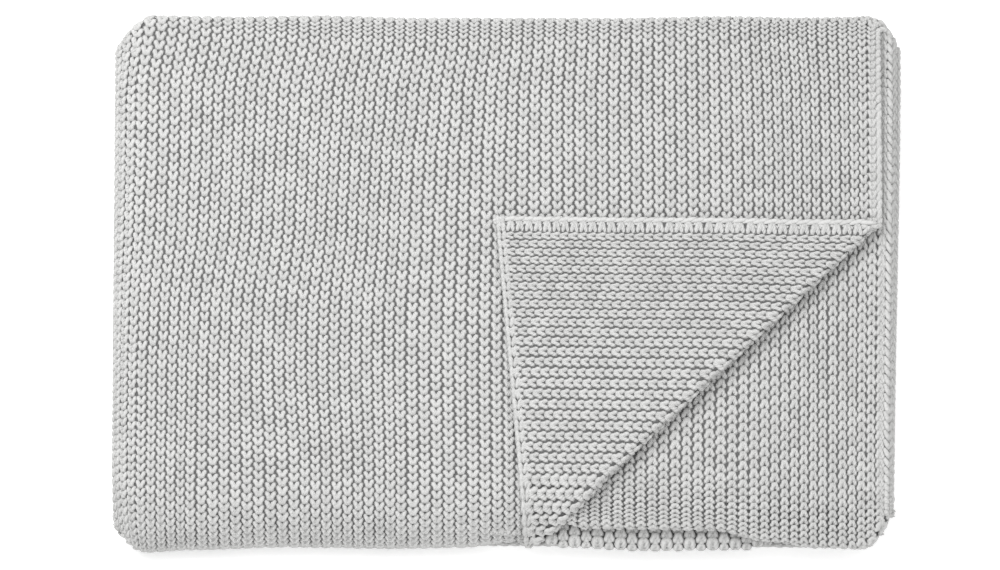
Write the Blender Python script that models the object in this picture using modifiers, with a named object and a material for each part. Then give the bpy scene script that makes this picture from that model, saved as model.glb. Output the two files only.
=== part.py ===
"""A knitted throw blanket, folded into a flat pack with one corner turned back.

The cloth is one sheet. It lies in four panels that run back and forth between the far side (+Y) and
the near side (-Y). The whole strip is then folded once across its width, round the left side (-X), so
the pack has eight layers with all of the side edges on the right.

A point of the flat cloth has a place across it (`across`, 0 at the middle of the left fold, positive in
the upper half of the pack) and a place along it (`along`, 0 at the near hem of the top layer). Lengths
are in metres, +Z is up, and the origin is under the middle of the pack.
"""

import math

import bmesh
import bpy
from mathutils import Vector

# The cloth and the pack
CLOTH_THICKNESS = 0.0062
LAYER_PITCH = 0.0080
PANELS = 4
OUTER_RADIUS = (PANELS - 0.5) * LAYER_PITCH
MIDDLE_HEIGHT = CLOTH_THICKNESS / 2 + OUTER_RADIUS
NOSE_RADIUS = LAYER_PITCH / 2

# The left fold and the side edges on the right
FOLD_CENTRE_X = -0.2930
SIDE_EDGE_X = 0.3060
FOLD_ARC = math.pi / 2 * OUTER_RADIUS
STRAIGHT_WIDTH = SIDE_EDGE_X - FOLD_CENTRE_X
HALF_WIDTH = FOLD_ARC + STRAIGHT_WIDTH

# Where each layer's side edge ends, at the far side and at the near side, from the outermost layer in
UPPER_SIDE_EDGES = ((0.3060, 0.3060), (0.3160, 0.3100), (0.3185, 0.3125), (0.3205, 0.3140))
LOWER_SIDE_EDGES = ((0.3220, 0.3145), (0.3230, 0.3150), (0.3240, 0.3155), (0.3235, 0.3150))
SIDE_NEAR_Y = -0.22
SIDE_FAR_Y = 0.22

# The top layer hangs over the near side by this much cloth, and bends down by this angle
DROP_LENGTH = 0.0670
DROP_BEND = math.radians(85)
DROP_TOP = -0.1810
DROP_LEAN = math.radians(12)

# The length of the top panel, from where it starts to bend down, and of the panels below it
TOP_PANEL_LENGTH = 0.207 - DROP_TOP
PANEL_LENGTH = 0.410

# The far folds, the near folds and the near hems: (x, y) along the pack
FAR_FOLD = (
    (-0.300, 0.2150),
    (-0.220, 0.2140),
    (-0.160, 0.2150),
    (-0.070, 0.2130),
    (0.090, 0.2128),
    (0.180, 0.2142),
    (0.240, 0.2130),
    (0.300, 0.2140),
)
FRONT_HEM = (
    (-0.292, -0.2249),
    (-0.261, -0.2230),
    (-0.179, -0.2207),
    (-0.091, -0.2219),
    (-0.040, -0.2210),
    (0.003, -0.2165),
)
UPPER_NEAR_FOLD = (
    (-0.280, -0.1965),
    (0.015, -0.1965),
    (0.065, -0.2125),
    (0.165, -0.2140),
    (0.215, -0.2230),
    (0.250, -0.2275),
    (0.285, -0.2285),
)
LOWER_NEAR_FOLD = ((-0.280, -0.2100), (0.000, -0.2140), (0.150, -0.2170), (0.290, -0.2190))
UPPER_HEM = (
    (-0.280, -0.2130),
    (0.005, -0.2160),
    (0.045, -0.2250),
    (0.110, -0.2275),
    (0.190, -0.2270),
    (0.225, -0.2200),
    (0.262, -0.2120),
)
LOWER_HEM = ((-0.280, -0.2140), (0.010, -0.2140), (0.060, -0.2190), (0.240, -0.2200), (0.290, -0.2150))
UNDER_HEM = ((-0.290, -0.2165), (-0.150, -0.2180), (0.100, -0.2190), (0.290, -0.2200))

# How far the corners of the pack draw in
FAR_LEFT_DRAW = 0.026
NEAR_LEFT_DRAW = 0.022
FRONT_LEFT_DRAW = 0.014
NEAR_RIGHT_DRAW = 0.041
NEAR_RIGHT_START = 0.290
NEAR_RIGHT_WIDTH = 0.028

# The same at the far right, as (draw, over this width), for the outer pair of layers and the inner pair
UPPER_FAR_RIGHT = ((0.011, 0.016), (0.016, 0.024))
LOWER_FAR_RIGHT = ((0.018, 0.030), (0.020, 0.032))

# The near side sags right of the turned-back corner: the share of its height that it loses there
SAG_SHARE = 0.42
SAG_START_Y = -0.168
SAG_END_Y = -0.232
SAG_LEFT_X = -0.020
SAG_FULL_X = 0.060
SAG_STEEPNESS = 0.97

# The turned-back corner: the line it is rolled about, and where the corner of the cloth comes to lie
ROLL_SIDE_Y = 0.0445
ROLL_HEM_X = 0.0045
ROLL_RADIUS = LAYER_PITCH / 2
CORNER_X = -0.0105
CORNER_Y = 0.0400

# How finely the sheet is divided; the columns near the side edges are narrower, for the round corners
LOWER_COLUMNS = 7
FOLD_COLUMNS = 12
UPPER_COLUMNS = 10
EDGE_COLUMNS = 4
EDGE_SHARE = 0.955
DROP_ROWS = 6
TOP_PANEL_ROWS = 6
PANEL_ROWS = 3
NOSE_ROWS = 7
ROLL_CUTS = 6

CLOTH_COLOUR = (0.60, 0.60, 0.595, 1.0)
CLOTH_ROUGHNESS = 0.92


def smooth_step(low, high, value):
    """0 below low, 1 above high, and a smooth rise between them."""
    part = min(max((value - low) / (high - low), 0.0), 1.0)
    return part * part * (3.0 - 2.0 * part)


def mix(first, second, share):
    return first + (second - first) * share


def table_value(table, x):
    """The value that a table of (x, value) rows gives at x, smoothed between its rows."""
    if x <= table[0][0]:
        return table[0][1]
    for (x0, value0), (x1, value1) in zip(table, table[1:]):
        if x <= x1:
            return mix(value0, value1, smooth_step(x0, x1, x))
    return table[-1][1]


def fold_angle(across):
    """The angle round the left fold: 90 degrees on the upper half, -90 on the lower half."""
    return min(max(across / FOLD_ARC, -1.0), 1.0) * math.pi / 2


def side_edge(layer, upper, y):
    """Where the side edge of a layer ends at y."""
    edges = UPPER_SIDE_EDGES if upper else LOWER_SIDE_EDGES
    index = min(int(layer), PANELS - 2)
    share = layer - index
    far = mix(edges[index][0], edges[index + 1][0], share)
    near = mix(edges[index][1], edges[index + 1][1], share)
    return mix(near, far, smooth_step(SIDE_NEAR_Y, SIDE_FAR_Y, y))


def section_place(across, layer, y):
    """(x, z) of a layer, counted from the outermost, at a place across the cloth."""
    radius = (PANELS - 0.5 - layer) * LAYER_PITCH
    beyond = abs(across) - FOLD_ARC
    if beyond <= 0.0:
        angle = fold_angle(across)
        return FOLD_CENTRE_X - radius * math.cos(angle), MIDDLE_HEIGHT + radius * math.sin(angle)
    edge = side_edge(layer, across > 0.0, y)
    x = FOLD_CENTRE_X + beyond / STRAIGHT_WIDTH * (edge - FOLD_CENTRE_X)
    return x, MIDDLE_HEIGHT + math.copysign(radius, across)


def drawn_left(across, layer):
    """1 at the outermost point of the left fold, and 0 where the layer is level."""
    return math.cos(fold_angle(across)) * (PANELS - 0.5 - layer) / (PANELS - 0.5)


def far_side(across, layer):
    """y of the far fold round this layer."""
    x, _ = section_place(across, layer, SIDE_FAR_Y)
    draw = FAR_LEFT_DRAW * drawn_left(across, layer) ** 1.5
    edge = side_edge(layer, across > 0.0, SIDE_FAR_Y)
    corners = UPPER_FAR_RIGHT if across > 0.0 else LOWER_FAR_RIGHT
    corner_draw, width = corners[0] if layer < PANELS / 2 else corners[1]
    draw += corner_draw * max(0.0, 1.0 - (edge - x) / width) ** 2
    return table_value(FAR_FOLD, x) - draw


def right_draw(x):
    """How far the near right corner draws in at x."""
    return NEAR_RIGHT_DRAW * max(0.0, (x - NEAR_RIGHT_START) / NEAR_RIGHT_WIDTH) ** 1.5


def near_side(across, layer, upper_table, lower_table):
    """y of a near fold or a near hem of this layer."""
    x, _ = section_place(across, layer, SIDE_NEAR_Y)
    share = smooth_step(-math.pi / 2, math.pi / 2, fold_angle(across))
    y = mix(table_value(lower_table, x), table_value(upper_table, x), share)
    y += NEAR_LEFT_DRAW * drawn_left(across, layer)
    return y + right_draw(x)


def drop_bend(across):
    """How far the outer layer's overhang bends down: fully on top, not at all underneath."""
    return DROP_BEND * smooth_step(-math.pi / 6, math.pi / 2, fold_angle(across))


def bend_reach(bend, length):
    """(forward, down) at a length along an overhang that bends evenly by bend over its whole length."""
    if bend < 1e-4:
        return length, 0.0
    radius = DROP_LENGTH / bend
    angle = length / radius
    return radius * math.sin(angle), radius * (1.0 - math.cos(angle))


def drop_start(across):
    """y where the outer layer starts to bend down."""
    forward, _ = bend_reach(drop_bend(across), DROP_LENGTH)
    x, _ = section_place(across, 0, SIDE_NEAR_Y)
    share = smooth_step(-math.pi / 2, math.pi / 2, fold_angle(across))
    front = mix(table_value(UNDER_HEM, x), table_value(FRONT_HEM, x), share)
    front += FRONT_LEFT_DRAW * max(0.0, drawn_left(across, 0)) ** 4
    if across < 0.0:
        front += right_draw(x)
    return front + forward


def nose_centre(y_tip, side):
    """y of the middle of a round fold that reaches y_tip, at side +1 (far) or -1 (near)."""
    return y_tip - side * (NOSE_RADIUS + CLOTH_THICKNESS / 2)


def nose(across, layer, y_tip, side, share):
    """A point of the round fold between a layer and the next one, at side +1 (far) or -1 (near)."""
    angle = math.pi * share
    y = nose_centre(y_tip, side) + side * NOSE_RADIUS * math.sin(angle)
    x, z = section_place(across, layer + 0.5 - 0.5 * math.cos(angle), y)
    return Vector((x, y, z))


def flat_rows():
    """The rows of the cloth: (section, share of it, place along the cloth)."""
    nose_length = math.pi * NOSE_RADIUS
    return (
        ("drop", DROP_ROWS, DROP_LENGTH),
        ("panel 0", TOP_PANEL_ROWS, TOP_PANEL_LENGTH),
        ("nose 0", NOSE_ROWS, nose_length),
        ("panel 1", PANEL_ROWS, PANEL_LENGTH),
        ("nose 1", NOSE_ROWS, nose_length),
        ("panel 2", PANEL_ROWS, PANEL_LENGTH),
        ("nose 2", NOSE_ROWS, nose_length),
        ("panel 3", PANEL_ROWS, PANEL_LENGTH),
    )


def section_at(along):
    """The section of the cloth at a place along it, and the share of that section."""
    sections = flat_rows()
    for name, _, length in sections:
        if along <= length + 1e-9:
            return name, max(along, 0.0) / length
        along -= length
    return sections[-1][0], 1.0


def drop_place(across, along, lift):
    """A point of the top layer's overhang, lifted off it by lift."""
    bend = drop_bend(across)
    length = DROP_LENGTH - along
    forward, down = bend_reach(bend, length)
    lean = DROP_LEAN * math.cos(fold_angle(across))
    x, z = section_place(across, 0, SIDE_NEAR_Y)
    angle = bend * length / DROP_LENGTH
    place = Vector((x + down * math.sin(lean), drop_start(across) - forward, z - down * math.cos(lean)))
    return place + lift * Vector((0.0, -math.sin(angle), math.cos(angle)))


def cloth_place(across, along, lift):
    """Where a point of the flat cloth lies in the folded pack, lifted off its layer by lift."""
    section, share = section_at(along)
    if section == "drop":
        return drop_place(across, along, lift)
    far_tips = {layer: far_side(across, layer + 0.5) for layer in (0, 2)}
    near_tip = near_side(across, 1.5, UPPER_NEAR_FOLD, LOWER_NEAR_FOLD)
    if section == "nose 0":
        return nose(across, 0, far_tips[0], 1, share)
    if section == "nose 1":
        return nose(across, 1, near_tip, -1, share)
    if section == "nose 2":
        return nose(across, 2, far_tips[2], 1, share)
    layer = int(section[-1])
    starts = (
        drop_start(across),
        nose_centre(far_tips[0], 1),
        nose_centre(near_tip, -1),
        nose_centre(far_tips[2], 1),
    )
    ends = (starts[1], starts[2], starts[3], near_side(across, 3, UPPER_HEM, LOWER_HEM))
    y = mix(starts[layer], ends[layer], share)
    x, z = section_place(across, layer, y)
    return Vector((x, y, z + lift))


def roll_line():
    """The line that the corner is rolled about: its end on the side edge, its direction, and the
    direction across it toward the corner, in (across, along)."""
    on_side = Vector((HALF_WIDTH, DROP_LENGTH + ROLL_SIDE_Y - DROP_TOP))
    on_hem = Vector((FOLD_ARC + ROLL_HEM_X - FOLD_CENTRE_X, 0.0))
    down_line = (on_hem - on_side).normalized()
    toward_corner = Vector((-down_line.y, down_line.x))
    corner = Vector((HALF_WIDTH, 0.0))
    if (corner - on_side).dot(toward_corner) < 0.0:
        toward_corner = -toward_corner
    return on_side, down_line, toward_corner


def turn_corner(across, along):
    """(across, along, lift) of a point after the corner is rolled back over the top layer."""
    on_side, down_line, toward_corner = roll_line()
    point = Vector((across, along)) - on_side
    beyond = point.dot(toward_corner)
    if beyond <= 0.0:
        return across, along, 0.0
    run = point.dot(down_line)
    turn = beyond / ROLL_RADIUS
    if turn < math.pi:
        out = ROLL_RADIUS * math.sin(turn)
        lift = ROLL_RADIUS * (1.0 - math.cos(turn))
    else:
        corner = Vector((HALF_WIDTH, 0.0)) - on_side
        laid = Vector((FOLD_ARC + CORNER_X - FOLD_CENTRE_X, DROP_LENGTH + CORNER_Y - DROP_TOP)) - on_side
        share = (beyond - math.pi * ROLL_RADIUS) / (corner.dot(toward_corner) - math.pi * ROLL_RADIUS)
        out = laid.dot(toward_corner) * share
        run += (laid.dot(down_line) - corner.dot(down_line)) * share
        lift = 2.0 * ROLL_RADIUS
    place = on_side + run * down_line + out * toward_corner
    return place.x, place.y, lift


def straight_places(columns):
    """The distances from the left fold, on one half of the pack, where columns of faces meet."""
    shares = [EDGE_SHARE * (i + 1) / columns for i in range(columns)]
    shares += [mix(EDGE_SHARE, 1.0, (i + 1) / EDGE_COLUMNS) for i in range(EDGE_COLUMNS)]
    return [FOLD_ARC + STRAIGHT_WIDTH * share for share in shares]


def column_places():
    """The places across the cloth where its columns of faces meet."""
    places = [-place for place in reversed(straight_places(LOWER_COLUMNS))]
    places += [mix(-FOLD_ARC, FOLD_ARC, i / FOLD_COLUMNS) for i in range(FOLD_COLUMNS + 1)]
    return places + straight_places(UPPER_COLUMNS)


def row_places():
    """The places along the cloth where its rows of faces meet."""
    places = [0.0]
    for _, rows, length in flat_rows():
        start = places[-1]
        places += [start + length * (i + 1) / rows for i in range(rows)]
    return places


def flat_cloth():
    """The flat cloth in (across, along), cut along the lines where its corner is rolled."""
    columns = column_places()
    rows = row_places()
    sheet = bmesh.new()
    bmesh.ops.create_grid(sheet, x_segments=len(columns) - 1, y_segments=len(rows) - 1, size=0.5)
    for vertex in sheet.verts:
        column = round((vertex.co.x + 0.5) * (len(columns) - 1))
        row = round((vertex.co.y + 0.5) * (len(rows) - 1))
        vertex.co = Vector((columns[column], rows[row], 0.0))
    on_side, _, toward_corner = roll_line()
    for cut in range(ROLL_CUTS + 1):
        beyond = math.pi * ROLL_RADIUS * cut / ROLL_CUTS
        point = on_side + beyond * toward_corner
        bmesh.ops.bisect_plane(
            sheet,
            geom=sheet.verts[:] + sheet.edges[:] + sheet.faces[:],
            dist=1e-4,
            plane_co=(point.x, point.y, 0.0),
            plane_no=(toward_corner.x, toward_corner.y, 0.0),
        )
    return sheet


def cloth_material():
    """Soft pale grey yarn."""
    material = bpy.data.materials.new("Grey yarn")
    material.use_nodes = True
    shader = material.node_tree.nodes["Principled BSDF"]
    shader.inputs["Base Color"].default_value = CLOTH_COLOUR
    shader.inputs["Roughness"].default_value = CLOTH_ROUGHNESS
    shader.inputs["Metallic"].default_value = 0.0
    return material


def height_left(x, y):
    """The share of its height that the pack keeps at (x, y), where its near side sags."""
    toward = min(max((SAG_START_Y - y) / (SAG_START_Y - SAG_END_Y), 0.0), 1.0)
    fall = 1.0 - math.sqrt(1.0 - (SAG_STEEPNESS * toward) ** 2)
    return 1.0 - SAG_SHARE * fall * smooth_step(SAG_LEFT_X, SAG_FULL_X, x)


def thicken(blanket):
    """Gives the sheet its thickness."""
    solid = blanket.modifiers.new("Cloth thickness", "SOLIDIFY")
    solid.thickness = CLOTH_THICKNESS
    solid.offset = 0.0
    bpy.context.view_layer.update()
    thick = bpy.data.meshes.new_from_object(blanket.evaluated_get(bpy.context.evaluated_depsgraph_get()))
    blanket.modifiers.clear()
    blanket.data = thick


def sag(mesh):
    """Lowers the near side of the pack, all its layers together, so that none meets the next."""
    for vertex in mesh.vertices:
        vertex.co.z *= height_left(vertex.co.x, vertex.co.y)


def centre_on_base(mesh):
    """Moves the mesh so that the origin lies under its middle."""
    low = [min(vertex.co[axis] for vertex in mesh.vertices) for axis in range(3)]
    high = [max(vertex.co[axis] for vertex in mesh.vertices) for axis in range(3)]
    shift = Vector(((low[0] + high[0]) / 2, (low[1] + high[1]) / 2, low[2]))
    for vertex in mesh.vertices:
        vertex.co -= shift


def build_blanket(collection):
    """The folded cloth as one solid."""
    sheet = flat_cloth()
    for vertex in sheet.verts:
        vertex.co = cloth_place(*turn_corner(vertex.co.x, vertex.co.y))
    mesh = bpy.data.meshes.new("throw_blanket")
    sheet.to_mesh(mesh)
    sheet.free()
    mesh.materials.append(cloth_material())
    blanket = bpy.data.objects.new("throw_blanket", mesh)
    collection.objects.link(blanket)
    thicken(blanket)
    sag(blanket.data)
    centre_on_base(blanket.data)
    blanket.data.shade_smooth()


def main():
    for obj in list(bpy.data.objects):
        bpy.data.objects.remove(obj, do_unlink=True)
    collection = bpy.data.collections.new("Knit throw blanket")
    bpy.context.scene.collection.children.link(collection)
    build_blanket(collection)


main()
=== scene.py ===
"""A folded knit throw, shown stitch by stitch.

The throw is one sheet of moss stitch. It lies in four panels, back and forth, and is then folded once
across its width, with one corner turned back over the top. The sheet's core follows those folds, and
every stitch that can be seen is a real loop of yarn that lies on the core: two plump limbs that meet in
a point toward the cast-on hem. The side edges and hems are chains of the same yarn.
"""

import logging
import math
from dataclasses import dataclass, field, replace
from enum import Enum

import bmesh
import bpy
import numpy as np
from mathutils import Matrix, Vector
from mathutils.bvhtree import BVHTree

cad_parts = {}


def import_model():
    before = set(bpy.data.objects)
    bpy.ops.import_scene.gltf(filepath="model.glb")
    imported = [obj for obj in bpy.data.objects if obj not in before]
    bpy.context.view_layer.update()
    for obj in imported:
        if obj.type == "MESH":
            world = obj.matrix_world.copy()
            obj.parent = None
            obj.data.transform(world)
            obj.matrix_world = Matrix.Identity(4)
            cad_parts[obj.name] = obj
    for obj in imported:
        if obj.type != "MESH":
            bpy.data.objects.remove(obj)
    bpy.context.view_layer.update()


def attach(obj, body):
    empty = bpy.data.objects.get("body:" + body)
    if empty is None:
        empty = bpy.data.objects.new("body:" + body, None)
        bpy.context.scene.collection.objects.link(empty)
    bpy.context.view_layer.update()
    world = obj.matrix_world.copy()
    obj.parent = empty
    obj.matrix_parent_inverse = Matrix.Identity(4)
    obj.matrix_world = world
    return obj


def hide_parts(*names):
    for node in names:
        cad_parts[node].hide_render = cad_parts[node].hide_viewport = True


LOG = logging.getLogger("knit_throw")

BODY = "root"
CLOTH_NODE = "throw_blanket"
Table = tuple[tuple[float, float], ...]


def smooth_step(low: float, high: float, value: np.ndarray) -> np.ndarray:
    """Return the share of a smooth rise, 0 at low and 1 at high, that is done at value."""
    part = np.clip((np.asarray(value, float) - low) / (high - low), 0.0, 1.0)
    return part * part * (3.0 - 2.0 * part)


def mix(first: np.ndarray | float, second: np.ndarray | float, share: np.ndarray | float) -> np.ndarray:
    """Return the value that lies share of the way from first to second."""
    return first + (second - first) * share


def table_value(table: Table, x: np.ndarray) -> np.ndarray:
    """Read a table of (x, value) rows, smoothed between its rows.

    Args:
        table: The rows, with x rising.
        x: Where to read it.

    Returns:
        The values, held level past either end.
    """
    places = np.array([row[0] for row in table])
    values = np.array([row[1] for row in table])
    index = np.clip(np.searchsorted(places, x) - 1, 0, len(places) - 2)
    share = np.clip((x - places[index]) / (places[index + 1] - places[index]), 0.0, 1.0)
    return mix(values[index], values[index + 1], share * share * (3.0 - 2.0 * share))


def unit(vectors: np.ndarray) -> np.ndarray:
    """Return the vectors at length 1."""
    return vectors / np.maximum(np.linalg.norm(vectors, axis=1, keepdims=True), 1e-12)


class Face(Enum):
    """The two faces of the cloth, as signs of its outward direction."""

    FRONT = 1
    BACK = -1


@dataclass
class FoldedCloth:
    """The folds of the throw, in metres.

    A point of the flat cloth has a place across it, 0 at the middle of the left fold and positive in the
    upper half of the pack, and a place along it, 0 at the near hem of the top layer. Folds and hems are
    tables of x and y. Side edges have a far x and a near x for each layer, the outermost first. A draw
    says how far a corner is drawn in.
    """

    layer_pitch: float = 0.0080
    half_thickness: float = 0.0031
    panels: int = 4
    fold_centre_x: float = -0.2930
    side_edge_x: float = 0.3060
    upper_side_edges: Table = ((0.3060, 0.3060), (0.3160, 0.3100), (0.3185, 0.3125), (0.3205, 0.3140))
    lower_side_edges: Table = ((0.3220, 0.3145), (0.3230, 0.3150), (0.3240, 0.3155), (0.3235, 0.3150))
    side_near_y: float = -0.22
    side_far_y: float = 0.22
    drop_length: float = 0.0670
    drop_bend: float = math.radians(85)
    drop_lean: float = math.radians(12)
    drop_top: float = -0.1810
    top_far: float = 0.2070
    panel_length: float = 0.4100
    far_fold: Table = (
        (-0.300, 0.2150), (-0.220, 0.2140), (-0.160, 0.2150), (-0.070, 0.2130),
        (0.090, 0.2128), (0.180, 0.2142), (0.240, 0.2130), (0.300, 0.2140),
    )
    front_hem: Table = (
        (-0.292, -0.2249), (-0.261, -0.2230), (-0.179, -0.2207),
        (-0.091, -0.2219), (-0.040, -0.2210), (0.003, -0.2165),
    )
    upper_near_fold: Table = (
        (-0.280, -0.1965), (0.015, -0.1965), (0.065, -0.2125),
        (0.165, -0.2140), (0.215, -0.2230), (0.250, -0.2275), (0.285, -0.2285),
    )
    lower_near_fold: Table = ((-0.280, -0.2100), (0.000, -0.2140), (0.150, -0.2170), (0.290, -0.2190))
    upper_hem: Table = (
        (-0.280, -0.2130), (0.005, -0.2160), (0.045, -0.2250),
        (0.110, -0.2275), (0.190, -0.2270), (0.225, -0.2200), (0.262, -0.2120),
    )
    lower_hem: Table = (
        (-0.280, -0.2140), (0.010, -0.2140), (0.060, -0.2190),
        (0.240, -0.2200), (0.290, -0.2150),
    )
    under_hem: Table = ((-0.290, -0.2165), (-0.150, -0.2180), (0.100, -0.2190), (0.290, -0.2200))
    far_left_draw: float = 0.026
    near_left_draw: float = 0.022
    front_left_draw: float = 0.014
    upper_far_right: Table = ((0.011, 0.016), (0.016, 0.024))
    lower_far_right: Table = ((0.018, 0.030), (0.020, 0.032))
    near_right_draw: float = 0.041
    near_right_start: float = 0.290
    near_right_width: float = 0.028
    sag_share: float = 0.42
    sag_start_y: float = -0.168
    sag_end_y: float = -0.232
    sag_left_x: float = -0.020
    sag_full_x: float = 0.060
    sag_steepness: float = 0.97
    roll_side_y: float = 0.0445
    roll_hem_x: float = 0.0045
    corner_x: float = -0.0105
    corner_y: float = 0.0400
    base_middle: tuple[float, float, float] = (0.00095, -0.00678, 0.0)

    def __post_init__(self) -> None:
        """Work out the lengths that follow from the sizes."""
        self.nose_radius = self.layer_pitch / 2
        self.outer_radius = (self.panels - 0.5) * self.layer_pitch
        self.middle_height = self.half_thickness + self.outer_radius
        self.fold_arc = math.pi / 2 * self.outer_radius
        self.straight = self.side_edge_x - self.fold_centre_x
        self.half_width = self.fold_arc + self.straight
        nose_length = math.pi * self.nose_radius
        lengths = [self.drop_length, self.top_far - self.drop_top]
        for _ in range(self.panels - 1):
            lengths += [nose_length, self.panel_length]
        self.section_ends = np.cumsum(lengths)
        self.section_lengths = np.array(lengths)
        self.length = float(self.section_ends[-1])
        self._set_roll_line()

    def _set_roll_line(self) -> None:
        """Find the line that the corner is rolled about, and where the corner comes to lie."""
        self.roll_side = np.array([self.half_width, self.drop_length + self.roll_side_y - self.drop_top])
        roll_hem = np.array([self.fold_arc + self.roll_hem_x - self.fold_centre_x, 0.0])
        line = roll_hem - self.roll_side
        self.down_line = line / np.linalg.norm(line)
        self.toward_corner = np.array([-self.down_line[1], self.down_line[0]])
        corner = np.array([self.half_width, 0.0]) - self.roll_side
        if corner @ self.toward_corner < 0.0:
            self.toward_corner = -self.toward_corner
        laid_across = self.fold_arc + self.corner_x - self.fold_centre_x
        laid_along = self.drop_length + self.corner_y - self.drop_top
        laid = np.array([laid_across, laid_along]) - self.roll_side
        self.corner_flat = (corner @ self.down_line, corner @ self.toward_corner)
        self.corner_laid = (laid @ self.down_line, laid @ self.toward_corner)

    def fold_angle(self, across: np.ndarray) -> np.ndarray:
        """Return the angle round the left fold, a quarter turn up on the upper half."""
        return np.clip(across / self.fold_arc, -1.0, 1.0) * math.pi / 2

    def side_edge(self, layer: np.ndarray, upper: np.ndarray, y: np.ndarray) -> np.ndarray:
        """Find where a layer's side edge ends.

        Args:
            layer: The layer, counted from the outermost.
            upper: Whether it lies in the upper half.
            y: Where to read the edge.

        Returns:
            The edge's x.
        """
        rows = np.array([self.lower_side_edges, self.upper_side_edges])[upper.astype(int)]
        index = np.clip(layer.astype(int), 0, self.panels - 2)
        pick = np.arange(len(index))
        share = (layer - index)[:, None]
        pair = mix(rows[pick, index], rows[pick, index + 1], share)
        return mix(pair[:, 1], pair[:, 0], smooth_step(self.side_near_y, self.side_far_y, y))

    def section_place(
        self, across: np.ndarray, layer: np.ndarray, y: np.ndarray
    ) -> tuple[np.ndarray, np.ndarray]:
        """Find a layer's x and z at a place across the cloth.

        Args:
            across: The place across the cloth.
            layer: The layer, counted from the outermost.
            y: Where along the pack.

        Returns:
            The x and the z.
        """
        radius = (self.panels - 0.5 - layer) * self.layer_pitch
        angle = self.fold_angle(across)
        beyond = np.abs(across) - self.fold_arc
        edge = self.side_edge(layer, across > 0.0, y)
        straight_x = self.fold_centre_x + beyond / self.straight * (edge - self.fold_centre_x)
        round_x = self.fold_centre_x - radius * np.cos(angle)
        return np.where(beyond > 0.0, straight_x, round_x), self.middle_height + radius * np.sin(angle)

    def drawn_left(self, across: np.ndarray, layer: np.ndarray) -> np.ndarray:
        """Return 1 at the outermost point of the left fold, and 0 where the layer is level."""
        outer = (self.panels - 0.5 - layer) / (self.panels - 0.5)
        return np.maximum(np.cos(self.fold_angle(across)) * outer, 0.0)

    def far_side(self, across: np.ndarray, layer: float) -> np.ndarray:
        """Find the far fold round a layer.

        Args:
            across: The places across the cloth.
            layer: The layer, counted from the outermost.

        Returns:
            The y of the fold.
        """
        layers = np.full(len(across), layer)
        reach = np.full(len(across), self.side_far_y)
        x, _ = self.section_place(across, layers, reach)
        draw = self.far_left_draw * self.drawn_left(across, layers) ** 1.5
        edge = self.side_edge(layers, across > 0.0, reach)
        pair = 0 if layer < self.panels / 2 else 1
        corners = np.array([self.lower_far_right[pair], self.upper_far_right[pair]])
        corner_draw, width = corners[(across > 0.0).astype(int)].T
        draw = draw + corner_draw * np.maximum(0.0, 1.0 - (edge - x) / width) ** 2
        return table_value(self.far_fold, x) - draw

    def right_draw(self, x: np.ndarray) -> np.ndarray:
        """Return how far the near right corner draws in at x."""
        past = np.maximum(0.0, (x - self.near_right_start) / self.near_right_width)
        return self.near_right_draw * past**1.5

    def near_side(self, across: np.ndarray, layer: float, upper: Table, lower: Table) -> np.ndarray:
        """Find a near fold or a near hem.

        Args:
            across: The place across the cloth.
            layer: The layer, counted from the outermost.
            upper: The table for the upper half.
            lower: The table for the lower half.

        Returns:
            The y of the fold or hem.
        """
        layers = np.full(len(across), layer)
        x, _ = self.section_place(across, layers, np.full(len(across), self.side_near_y))
        share = smooth_step(-math.pi / 2, math.pi / 2, self.fold_angle(across))
        y = mix(table_value(lower, x), table_value(upper, x), share)
        return y + self.near_left_draw * self.drawn_left(across, layers) + self.right_draw(x)

    def bend_at(self, across: np.ndarray) -> np.ndarray:
        """Return how far the outer layer's overhang bends: fully on top, not at all underneath."""
        return self.drop_bend * smooth_step(-math.pi / 6, math.pi / 2, self.fold_angle(across))

    def drop_start(self, across: np.ndarray) -> np.ndarray:
        """Find where the outer layer starts to bend down.

        Args:
            across: The places across the cloth.

        Returns:
            The y there.
        """
        bend = np.maximum(self.bend_at(across), 1e-4)
        forward = self.drop_length / bend * np.sin(bend)
        layers = np.zeros(len(across))
        x, _ = self.section_place(across, layers, np.full(len(across), self.side_near_y))
        share = smooth_step(-math.pi / 2, math.pi / 2, self.fold_angle(across))
        front = mix(table_value(self.under_hem, x), table_value(self.front_hem, x), share)
        front = front + self.front_left_draw * self.drawn_left(across, layers) ** 4
        return front + np.where(across < 0.0, self.right_draw(x), 0.0) + forward

    def drop_place(self, across: np.ndarray, along: np.ndarray, lift: np.ndarray) -> np.ndarray:
        """Place points of the top layer's overhang.

        Args:
            across: The place across the cloth.
            along: The place along it.
            lift: How far off the layer.

        Returns:
            The points.
        """
        bend = np.maximum(self.bend_at(across), 1e-4)
        length = self.drop_length - along
        radius = self.drop_length / bend
        angle = length / radius
        down = radius * (1.0 - np.cos(angle))
        lean = self.drop_lean * np.cos(self.fold_angle(across))
        start = self.drop_start(across)
        x, z = self.section_place(across, np.zeros(len(across)), start)
        y = start - radius * np.sin(angle) - lift * np.sin(angle)
        height = z - down * np.cos(lean) + lift * np.cos(angle)
        return np.stack([x + down * np.sin(lean), y, height], axis=1)

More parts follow.
